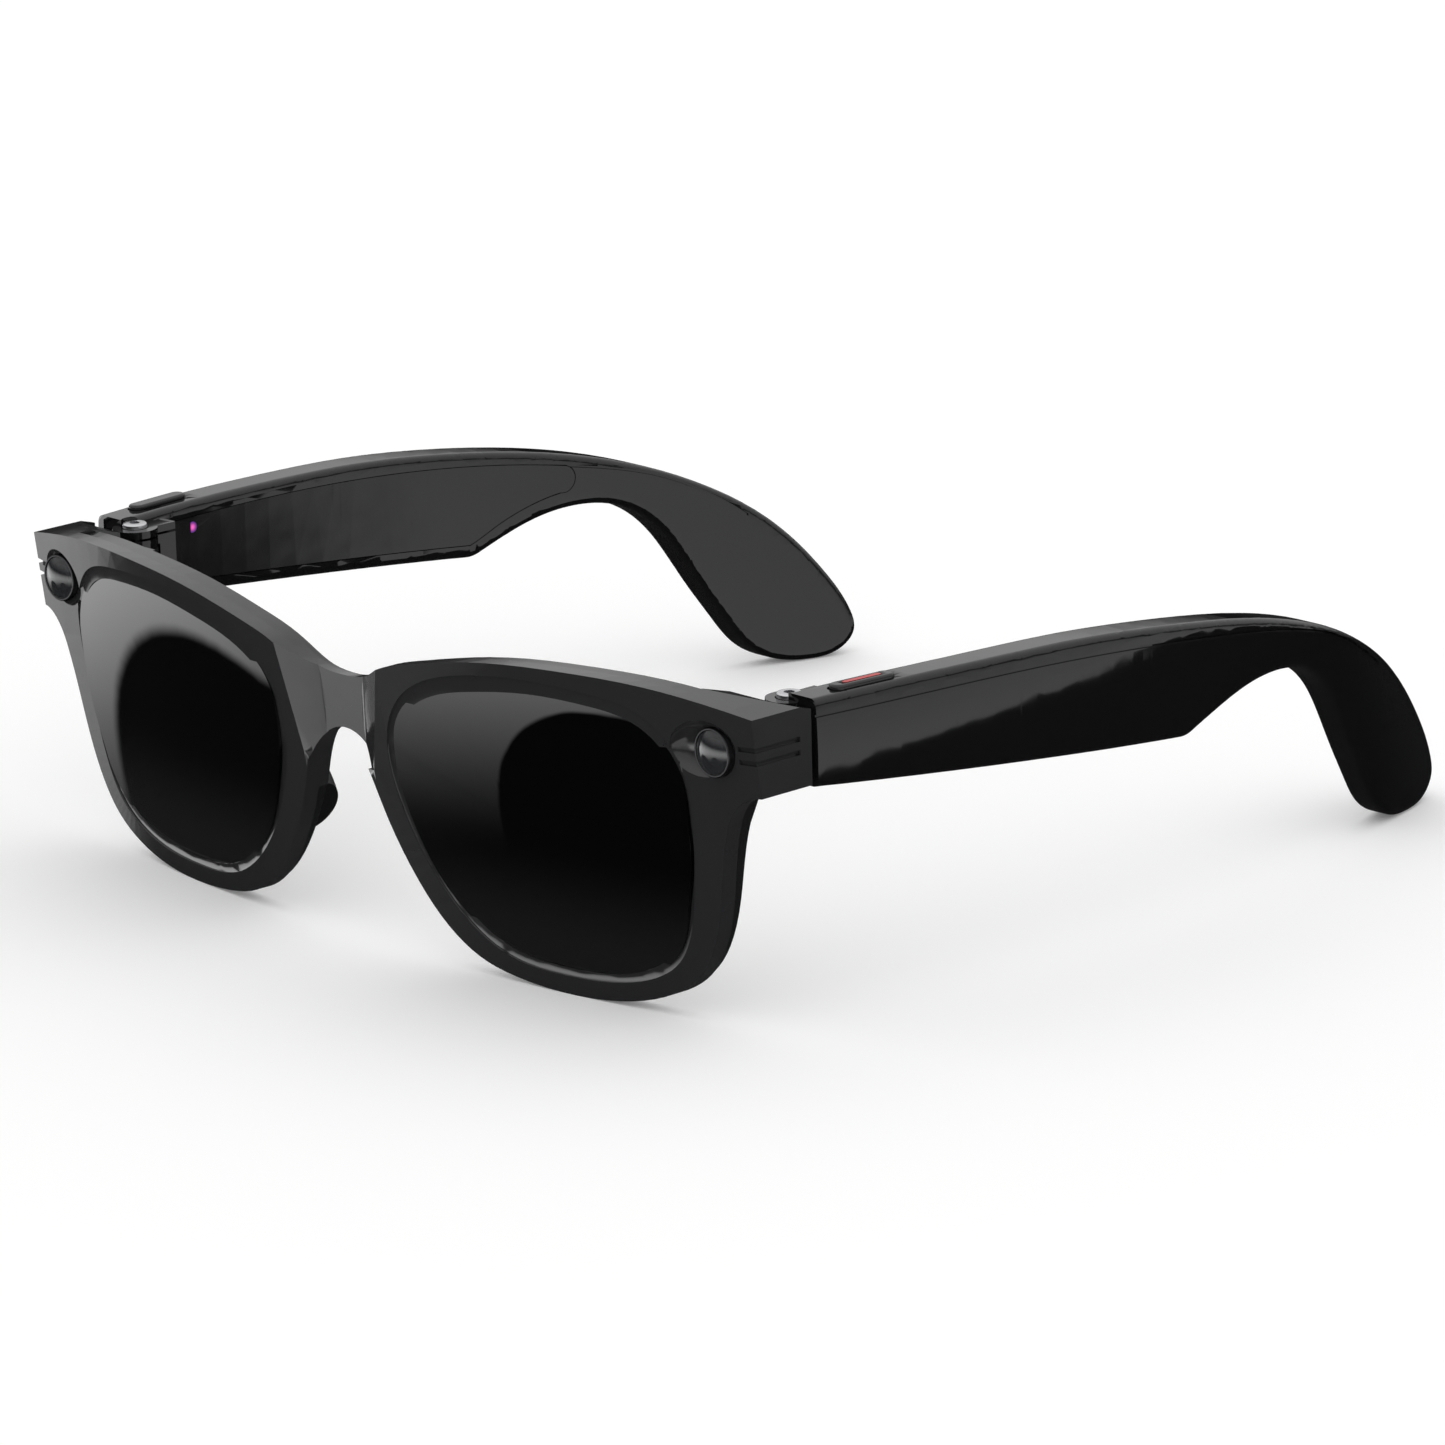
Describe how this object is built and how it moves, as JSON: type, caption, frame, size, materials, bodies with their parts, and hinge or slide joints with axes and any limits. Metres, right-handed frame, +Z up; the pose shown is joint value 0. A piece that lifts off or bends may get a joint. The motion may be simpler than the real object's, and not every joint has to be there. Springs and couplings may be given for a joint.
{
  "type": "camera glasses",
  "caption": "Thick black square-cut glasses with dark lenses, a small camera at each end of the brow, folding temples and a push button on each temple.",
  "frame": {"origin": "middle of the footprint on the table the open glasses rest on", "axes": "+X towards the wearer's left, -Y the way the wearer looks, +Z up"},
  "size_m": [0.1518, 0.1529, 0.0463],
  "materials": {
    "gloss_black": "polished black acetate-like plastic",
    "satin_black": "polished black plastic, slightly softer than the shells",
    "tinted_lens": "dark grey tinted lens, darker at the top",
    "pad_rubber": "black silicone",
    "black_anodised": "black anodised",
    "camera_glass": "domed cover window",
    "circuit": "green solder mask",
    "brass_bush": "plain turned",
    "screw_steel": "bright stainless",
    "cell_foil": "foil pouch",
    "mesh_steel": "fine dark mesh",
    "speaker_black": "moulded speaker case",
    "switch_black": "moulded switch",
    "red_stripe": "bright red insert",
    "button_black": "satin black",
    "gold_contact": "gold plated",
    "light_pipe": "clear pipe lit violet",
    "flex_film": "amber polyimide film"
  },
  "bodies": {
    "front": {"front_shell": "gloss_black", "rear_shell": "satin_black", "lens_left": "tinted_lens", "lens_right": "tinted_lens", "brow_flex": "flex_film", "nose_pad_left": "pad_rubber", "nose_pad_right": "pad_rubber", "camera_bezel_left": "black_anodised", "camera_bezel_right": "black_anodised", "camera_window_left": "camera_glass", "camera_window_right": "camera_glass", "camera_barrel_left": "black_anodised", "camera_barrel_right": "black_anodised", "camera_module_left": "circuit", "camera_module_right": "circuit", "hinge_bushes": "brass_bush"},
    "temple_left": {"temple_shell_left": "gloss_black", "temple_cover_left": "satin_black", "hinge_screw_left": "screw_steel", "battery_left": "cell_foil", "circuit_board_left": "circuit", "speaker_left": "speaker_black", "speaker_mesh_left": "mesh_steel", "button_switch_left": "switch_black", "charging_contacts": "gold_contact"},
    "temple_right": {"temple_shell_right": "gloss_black", "temple_cover_right": "satin_black", "hinge_screw_right": "screw_steel", "battery_right": "cell_foil", "circuit_board_right": "circuit", "speaker_right": "speaker_black", "speaker_mesh_right": "mesh_steel", "button_switch_right": "switch_black", "status_light": "light_pipe"},
    "button_left": {"button_left": "button_black", "button_stripe": "red_stripe"},
    "button_right": {"button_right": "button_black"}
  },
  "joints": [
    {"name": "temple_left_fold", "type": "hinge", "parent": "front", "child": "temple_left", "pos_m": [0.0665, -0.05424, 0.038], "axis": [0, 0, 1], "range_deg": [0, 85]},
    {"name": "temple_right_fold", "type": "hinge", "parent": "front", "child": "temple_right", "pos_m": [-0.0665, -0.05424, 0.038], "axis": [0, 0, -1], "range_deg": [0, 72]},
    {"name": "button_left_press", "type": "slide", "parent": "temple_left", "child": "button_left", "axis": [0, 0, -1], "range_m": [0, 0.0005], "stiffness_N_per_m": 800, "springref_m": -0.0001},
    {"name": "button_right_press", "type": "slide", "parent": "temple_right", "child": "button_right", "axis": [0, 0, -1], "range_m": [0, 0.0005], "stiffness_N_per_m": 800, "springref_m": -0.0001}
  ]
}
